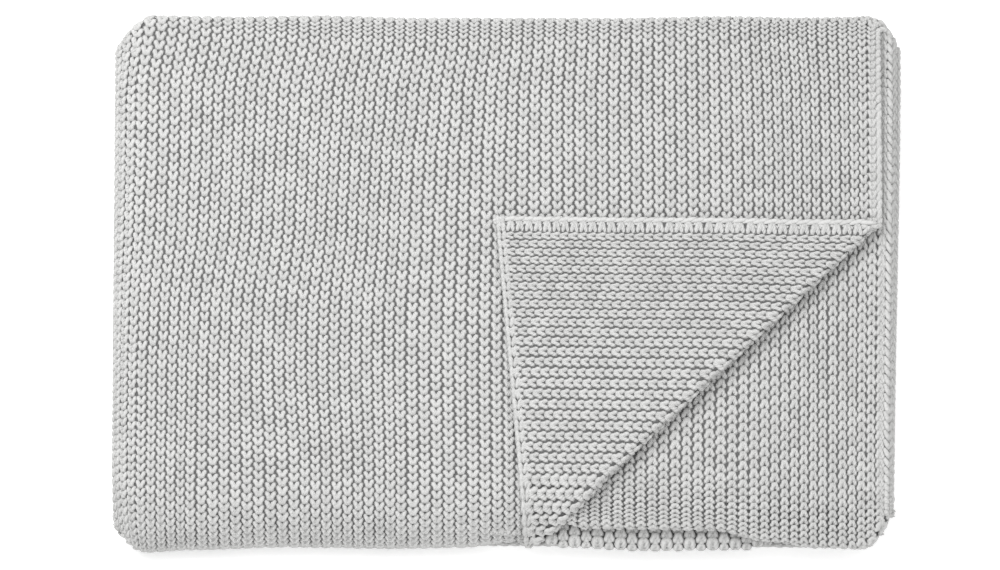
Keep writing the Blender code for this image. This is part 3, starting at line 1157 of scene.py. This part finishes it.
@dataclass
class KnitThrow:
    """The throw: its core, its moss stitches and its edges.

    Lengths are in metres. Wales and courses are counted as on the lattice. A stitch is shown if a ray from
    its crest gets clear of the core, straight out or at one of the leans, which are in degrees, each with
    its count of rays.
    """

    cloth: FoldedCloth
    core_half: float = 0.0009
    core_inset: float = 0.0016
    stitch_height: float = 0.0012
    edge_wales: int = 1
    edge_draw: float = 0.40
    drawn_wales: float = 6.0
    edge_widening: float = 0.14
    strand_inset: float = 0.0023
    filler_inset: float = 0.0062
    slit_wales: float = 2.0
    slit_courses: float = 104.0
    leg_inset: float = 0.0088
    ground_wales: float = 8.0
    crest_height: float = 0.0008
    filler_height: float = 0.0002
    leg_height: float = 0.0010
    braid_height: float = 0.0010
    braid_rows: Table = ((0.46, 0.16), (1.46, -0.16))
    braid_fit: LinkFit = LinkFit((0.0, 1.42, 0.0), (0.86, 0.0, 1.20), crosswise=True)
    edge_fit: LinkFit = LinkFit((0.0, 1.28, 0.0), (1.02, 0.0, 1.40))
    turned_edge_fit: LinkFit = LinkFit((0.0, 1.60, 0.0), (1.02, 0.0, 1.40))
    filler_fit: LinkFit = LinkFit((0.0, 1.28, 0.0), (1.00, 0.0, 0.85))
    leg_fit: LinkFit = LinkFit((0.80, 0.0, 0.0), (0.0, 1.30, 0.95), crosswise=True)
    edge_lean: float = 0.36
    turned_edge_lean: float = 0.22
    large_bump: tuple[float, float, float] = (1.08, 1.08, 1.10)
    small_bump: tuple[float, float, float] = (0.85, 0.62, 0.80)
    bump_courses: tuple[float, float] = (1.3, 0.6)
    cast_on_courses: int = 1
    cast_off_courses: int = 2
    straight_lines: int = 35
    round_lines: int = 29
    panel_lines: int = 12
    top_lines: int = 30
    corner_cuts: int = 8
    wale_span: float = 0.3
    course_span: float = 0.5
    sight_leans: tuple[tuple[float, int], ...] = ((0.0, 1), (38.0, 4), (64.0, 8))
    sight_reach: float = 0.2
    sight_height: float = 0.0026
    sight_step: float = 0.002
    under_facing: float = -0.7
    under_height: float = 0.008
    top_facing: float = 0.6
    top_height: float = 0.045
    parting_x: float = -0.02
    width_limits: tuple[float, float] = (0.5, 1.7)
    length_limits: tuple[float, float] = (0.5, 1.8)
    pieces: list[bpy.types.Object] = field(default_factory=list)

    def __post_init__(self) -> None:
        """Prepare the lattice, the yarn, the shapes and the setter."""
        self.lattice = MossLattice(self.cloth)
        self.yarn = YarnFinish().material()
        # the core's material is dark grey painted shade for the gaps between stitches
        self.core_shade_material = CoreShade().material()
        shapes = YarnShapes()
        self.full_stitch = shapes.stitch("full_stitch", shapes.heart)
        self.plain_stitch = shapes.stitch("plain_stitch", shapes.plain_heart)
        self.hem_bump = shapes.stitch("hem_bump", shapes.bump)
        self.edge_link = shapes.link("edge_link")
        self.models = (self.full_stitch, self.plain_stitch, self.hem_bump, self.edge_link)
        for model in self.models:
            model.data.materials.append(self.yarn)
        self.setter = StitchSetter()

    def build(self) -> None:
        """Build every piece of the throw, and put the models of its stitches away."""
        self.core = self.build_core()
        self.blocked = self._blockers()
        self.build_stitches()
        self.build_edges()
        for model in self.models:
            bpy.data.objects.remove(model, do_unlink=True)

    def _grid_places(self) -> tuple[np.ndarray, np.ndarray]:
        """Choose the lines of the flat cloth that the core's faces meet on.

        Returns:
            The places across the cloth and the places along it.
        """
        cloth, inset = self.cloth, self.core_inset
        shares = np.linspace(0.0, 1.0, self.straight_lines + 1)[1:]
        straight = cloth.fold_arc + (cloth.straight - inset) * shares
        round_part = np.linspace(-cloth.fold_arc, cloth.fold_arc, self.round_lines)
        across = np.concatenate([-straight[::-1], round_part, straight])
        counts = [self.panel_lines, self.top_lines] + [self.panel_lines] * 2 * (cloth.panels - 1)
        along = [0.0]
        for end, length, count in zip(cloth.section_ends, cloth.section_lengths, counts):
            along += [end - length + length * (i + 1) / count for i in range(count)]
        return across, np.clip(along, inset, cloth.length - inset)

    def build_core(self) -> bpy.types.Object:
        """Build the cloth's core, a thin closed sheet on the folds.

        Returns:
            The core.
        """
        across, along = self._grid_places()
        columns, rows = len(across), len(along)
        built = bmesh.new()
        bmesh.ops.create_grid(built, x_segments=columns - 1, y_segments=rows - 1, size=0.5)
        for vertex in built.verts:
            column = round((vertex.co.x + 0.5) * (columns - 1))
            row = round((vertex.co.y + 0.5) * (rows - 1))
            vertex.co = Vector((across[column], along[row], 0.0))
        cloth = self.cloth
        for cut in range(self.corner_cuts + 1):
            beyond = math.pi * cloth.nose_radius * cut / self.corner_cuts
            point = cloth.roll_side + beyond * cloth.toward_corner
            bmesh.ops.bisect_plane(
                built,
                geom=built.verts[:] + built.edges[:] + built.faces[:],
                dist=1e-5,
                plane_co=(*point, 0.0),
                plane_no=(*cloth.toward_corner, 0.0),
            )
        flat = np.array([vertex.co[:2] for vertex in built.verts])
        for vertex, place in zip(built.verts, cloth.place(flat[:, 0], flat[:, 1])):
            vertex.co = place
        for face in built.faces:
            face.smooth = True
        core = add_mesh("knit_core", built)
        core.data.materials.append(self.core_shade_material)
        solid = core.modifiers.new("Core thickness", "SOLIDIFY")
        solid.thickness = 2 * self.core_half
        solid.offset = 0.0
        make_plain(core, solid)
        return core

    def _blockers(self) -> BVHTree:
        """Prepare the core for rays to be tested against.

        Returns:
            The tree.
        """
        mesh = self.core.data
        mesh.calc_loop_triangles()
        points = [vertex.co.copy() for vertex in mesh.vertices]
        return BVHTree.FromPolygons(points, [tuple(t.vertices) for t in mesh.loop_triangles])

    def seen(self, points: np.ndarray, outward: np.ndarray, side: np.ndarray) -> np.ndarray:
        """Find which stitches can be seen from anywhere outside.

        Args:
            points: Points on the stitches' crests.
            outward: Their outward directions.
            side: A direction in their plane.

        Returns:
            True for each one that some straight line reaches.
        """
        forward = np.cross(outward, side)
        found = np.zeros(len(points), bool)
        for degrees, count in self.sight_leans:
            lean = math.radians(degrees)
            for k in range(count):
                turn = 2 * math.pi * k / count
                flat = side * math.cos(turn) + forward * math.sin(turn)
                ways = outward * math.cos(lean) + flat * math.sin(lean)
                for index in np.flatnonzero(~found):
                    ray = (Vector(points[index]), Vector(ways[index]), self.sight_reach)
                    found[index] = self.blocked.ray_cast(*ray)[0] is None
        return found

    def places_at(
        self,
        wale: np.ndarray,
        course: np.ndarray,
        faces: np.ndarray,
        height: float,
        turned: float = 0.0,
    ) -> StitchPlaces:
        """Work out where stitches lie and how they are stretched.

        Args:
            wale: Their wales.
            course: Their courses.
            faces: 1 for the front face, -1 for the back.
            height: How far they stand off the cloth's middle.
            turned: How far they are turned in the cloth's plane, in radians.

        Returns:
            The places.
        """
        lattice = self.lattice
        crest = faces * (height + self.crest_height)

        def at(wales: np.ndarray, courses: np.ndarray, offset: np.ndarray) -> np.ndarray:
            """Return the points of the cloth's surface there."""
            return self.cloth.surface(*lattice.flat_place(wales, courses), offset)

        low, high = (np.clip(wale + way * self.wale_span, 0.0, lattice.wales) for way in (-1.0, 1.0))
        over = (at(high, course, crest) - at(low, course, crest)) / (high - low)[:, None]
        low, high = (np.clip(course + way * self.course_span, 0.0, lattice.courses) for way in (-1.0, 1.0))
        up = 2.0 * (at(wale, high, crest) - at(wale, low, crest)) / (high - low)[:, None]
        points = at(wale, course, faces * height)
        forward = unit(up)
        out = unit(np.cross(over, up)) * faces[:, None]
        side = unit(np.cross(forward, out))
        width = np.abs(np.sum(over * side, axis=1)) / lattice.wale_pitch
        length = np.linalg.norm(up, axis=1) / lattice.stitch_pitch
        if turned:
            side, forward = (
                side * math.cos(turned) + forward * math.sin(turned),
                forward * math.cos(turned) - side * math.sin(turned),
            )
        width, length = np.clip(width, *self.width_limits), np.clip(length, *self.length_limits)
        stretches = np.stack([width, length, np.ones(len(wale))], axis=1)
        return StitchPlaces(points, turns_from_axes(side, forward, out), stretches)

    def beside_slits(self, wale: np.ndarray, course: np.ndarray, faces: np.ndarray) -> np.ndarray:
        """Find which stitches lie on the back of the corner that is turned over, toward its side edge."""
        near_side = wale > self.lattice.wales - self.ground_wales
        return near_side & (course < self.slit_courses) & (faces < 0.0)

    def build_stitches(self) -> None:
        """Set the moss stitches: each one shows on one face, and its neighbours on the other."""
        cloth, lattice = self.cloth, self.lattice
        wale, course = np.meshgrid(
            np.arange(self.edge_wales, lattice.wales - self.edge_wales),
            np.arange(self.cast_on_courses, lattice.courses - self.cast_off_courses),
        )
        wale, course = wale.ravel(), course.ravel()
        faces = np.where((wale + course) % 2 == 0, float(Face.FRONT.value), float(Face.BACK.value))
        wale, course = wale + 0.5, course + 0.5
        kept = ~(self.beside_slits(wale, course, faces) & (wale > lattice.wales - self.slit_wales))
        wale, course, faces = wale[kept], course[kept], faces[kept]
        inward = np.minimum(wale, lattice.wales - wale)
        drawn = np.clip(1.0 - (inward - self.edge_wales - 0.5) / self.drawn_wales, 0.0, 1.0)
        drawn = np.where(self.beside_slits(wale, course, faces), 0.0, drawn)
        wale = wale + np.where(wale > lattice.wales / 2, 1.0, -1.0) * self.edge_draw * drawn
        across, along = lattice.flat_place(wale, course)
        outward = cloth.normal(across, along) * faces[:, None]
        points = cloth.place(across, along) + outward * self.sight_height
        step = np.where(across > 0.0, -self.sight_step, self.sight_step)
        side = (cloth.place(across + step, along) - cloth.place(across, along)) * np.sign(step)[:, None]
        side = unit(side - outward * np.sum(side * outward, axis=1, keepdims=True))
        shown = self.seen(points, outward, side)
        LOG.info("stitches: %d of %d can be seen", shown.sum(), len(shown))
        places = self.places_at(wale[shown], course[shown], faces[shown], self.stitch_height)
        places.stretches[:, 0] *= 1.0 + self.edge_widening * np.ceil(drawn[shown] * 2.0) * 0.5
        centre, out = places.points, outward[shown]
        under = (out[:, 2] < self.under_facing) & (centre[:, 2] < self.under_height)
        top = (out[:, 2] > self.top_facing) & (centre[:, 2] > self.top_height) & ~under
        left_part = centre[:, 0] < self.parting_x
        groups = {
            "stitches_top_left": (top & left_part, self.full_stitch),
            "stitches_top_right": (top & ~left_part, self.full_stitch),
            "stitches_side_left": (~top & ~under & left_part, self.full_stitch),
            "stitches_side_right": (~top & ~under & ~left_part, self.full_stitch),
            "stitches_under_left": (under & left_part, self.plain_stitch),
            "stitches_under_right": (under & ~left_part, self.plain_stitch),
        }
        for seed, (name, (chosen, shape)) in enumerate(groups.items()):
            self._set_piece(name, places.pick(chosen), shape, seed)

    def _set_piece(self, name: str, places: StitchPlaces, shape: bpy.types.Object, seed: int) -> None:
        """Set a shape on the places as one more piece of the throw.

        Args:
            name: The piece's name.
            places: Where its stitches lie.
            shape: Their shape.
            seed: The seed for their unevenness.
        """
        piece = self.setter.set(name, places, shape, self.yarn, seed)
        triangles = sum(len(face.vertices) - 2 for face in piece.data.polygons)
        LOG.info("%s: %d stitches, %d triangles", name, len(places.points), triangles)
        self.pieces.append(piece)

    def build_edges(self) -> None:
        """Edge the cloth: a braid, a row of bumps, and a smooth strand along each side."""
        self._set_piece("cast_on_braid", self._cast_on(), self.edge_link, 10)
        self._set_piece("cast_off_bumps", self._cast_off(), self.hem_bump, 11)
        strands, fillers, legs = self._sides()
        self._set_piece("side_strands", strands, self.edge_link, 12)
        self._set_piece("side_fillers", fillers, self.edge_link, 13)
        self._set_piece("side_legs", legs, self.plain_stitch, 14)

    def _cast_on(self) -> StitchPlaces:
        """Lay out the cast-on braid: two rows of links, with small holes between them.

        Returns:
            The links' places.
        """
        wale = np.arange(self.lattice.wales) + 0.5
        parts = []
        for face in Face:
            faces = np.full(len(wale), float(face.value))
            for course, lean in self.braid_rows:
                at = np.full(len(wale), course)
                links = self.places_at(wale, at, faces, self.braid_height, math.pi / 2 + lean)
                parts.append(links.sized(self.braid_fit))
        return StitchPlaces.joined(parts)

    def _cast_off(self) -> StitchPlaces:
        """Lay out the cast-off bumps: large ones on every second wale, small ones between.

        Returns:
            The bumps' places.
        """
        wale = np.arange(self.lattice.wales)
        parts = []
        for face in Face:
            faces = np.full(len(wale), float(face.value))
            large = wale % 2 == (0 if face is Face.FRONT else 1)
            course = self.lattice.courses - np.where(large, *self.bump_courses)
            places = self.places_at(wale + 0.5, course, faces, self.stitch_height)
            places.stretches *= np.where(large[:, None], self.large_bump, self.small_bump)
            parts.append(places)
        return StitchPlaces.joined(parts)

    def _sides(self) -> tuple[StitchPlaces, StitchPlaces, StitchPlaces]:
        """Work out where the side edges' links lie.

        Returns:
            The places of the outer strands, of the links that fill the ground beside them, and of the
            upright legs between the slits on the turned corner.
        """
        lattice = self.lattice
        course = np.arange(lattice.courses // 2) * 2.0 + 1.0
        over = course < self.slit_courses
        last = float(lattice.wales)
        first_pitch, last_pitch = lattice.wale_pitches[0][1], lattice.wale_pitches[-1][1]
        strands, fillers = [], []
        for edge, inward, pitch, courses, fit, lean in (
            (0.0, 1.0, first_pitch, course, self.edge_fit, self.edge_lean),
            (last, -1.0, last_pitch, course[~over], self.edge_fit, self.edge_lean),
            (last, -1.0, last_pitch, course[over], self.turned_edge_fit, self.turned_edge_lean),
        ):
            count = len(courses)
            at = np.full(count, edge + inward * self.strand_inset / pitch)
            strands.append(self.places_at(at, courses, np.ones(count), 0.0, lean * inward).sized(fit))
            beside = np.full(count, edge + inward * self.filler_inset / pitch)
            for face in Face:
                faces = np.full(count, float(face.value))
                ground = ~self.beside_slits(at, courses, faces)
                if ground.any():
                    these = (beside[ground], courses[ground], faces[ground])
                    filler = self.places_at(*these, self.filler_height, -lean * inward)
                    fillers.append(filler.sized(replace(self.filler_fit, shares=fit.shares)))
        course = course[over]
        at = np.full(len(course), last - self.leg_inset / last_pitch)
        legs = self.places_at(at, course, -np.ones(len(course)), self.leg_height, -math.pi / 2)
        return StitchPlaces.joined(strands), StitchPlaces.joined(fillers), legs.sized(self.leg_fit)

    def report(self) -> None:
        for piece in (self.core, *self.pieces):
            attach(piece, BODY)
            LOG.info("piece %s", piece.name)
        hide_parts(CLOTH_NODE)


@dataclass
class Studio:
    """A white floor, soft light and the camera, high over the near side.

    Each panel of light has a name, a place, a size in metres and a power in watts. The floor glows a
    little, so that it comes out as plain white paper does.
    """

    elevation: float = math.radians(78)
    distance: float = 8.0
    metres_per_pixel: float = 0.00082
    frame_width: int = 1000
    sensor: float = 36.0
    target: tuple[float, float, float] = (-0.0077, -0.0008, 0.035)
    white: tuple[float, float, float, float] = (1.0, 1.0, 1.0, 1.0)
    floor_size: float = 4.0
    floor_glow: float = 0.25
    surround_strength: float = 0.84
    panels: tuple[tuple[str, tuple[float, float, float], float, float], ...] = (
        ("key", (-0.8, 0.6, 1.8), 1.1, 27.0),
        ("fill", (0.4, -0.1, 2.1), 1.6, 9.0),
        ("near fill", (0.6, -1.1, 1.5), 1.6, 3.0),
    )

    def build(self) -> None:
        """Build the floor, the lights and the camera."""
        scene = bpy.context.scene
        scene.view_settings.view_transform = "Standard"
        self._floor()
        self._lights()
        camera_data = bpy.data.cameras.new("camera")
        camera_data.sensor_width = self.sensor
        camera_data.lens = self.sensor * self.distance / (self.metres_per_pixel * self.frame_width)
        camera = add_object("camera", camera_data)
        away = Vector((0.0, -math.cos(self.elevation), math.sin(self.elevation)))
        camera.location = Vector(self.target) + self.distance * away
        camera.rotation_euler = (math.pi / 2 - self.elevation, 0.0, 0.0)
        scene.camera = camera

    def _floor(self) -> None:
        """Build the plain floor."""
        built = bmesh.new()
        bmesh.ops.create_grid(built, x_segments=1, y_segments=1, size=self.floor_size)
        floor = add_mesh("floor", built)
        values = {
            "Base Color": linear("FAFAFA"),
            "Roughness": 0.9,
            "Specular IOR Level": 0.1,
            "Emission Color": self.white,
            "Emission Strength": self.floor_glow,
        }
        floor.data.materials.append(new_material("White floor", values)[0])

    def _lights(self) -> None:
        """Build a pale surround and three soft panels, the strongest one behind on the left."""
        world = bpy.data.worlds.new("surround")
        world.use_nodes = True
        background = world.node_tree.nodes["Background"]
        background.inputs["Color"].default_value = self.white
        background.inputs["Strength"].default_value = self.surround_strength
        bpy.context.scene.world = world
        for name, place, size, power in self.panels:
            data = bpy.data.lights.new(name, "AREA")
            data.size = size
            data.energy = power
            light = add_object(name, data)
            light.location = place
            light.rotation_euler = (-Vector(place)).to_track_quat("-Z", "Y").to_euler()


def main() -> None:
    """Build the throw in its studio and note how large it came out."""
    logging.basicConfig(level=logging.INFO, format="%(name)s: %(message)s")
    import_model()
    Studio().build()
    throw = KnitThrow(FoldedCloth())
    throw.build()
    throw.report()


if __name__ == "__main__":
    main()
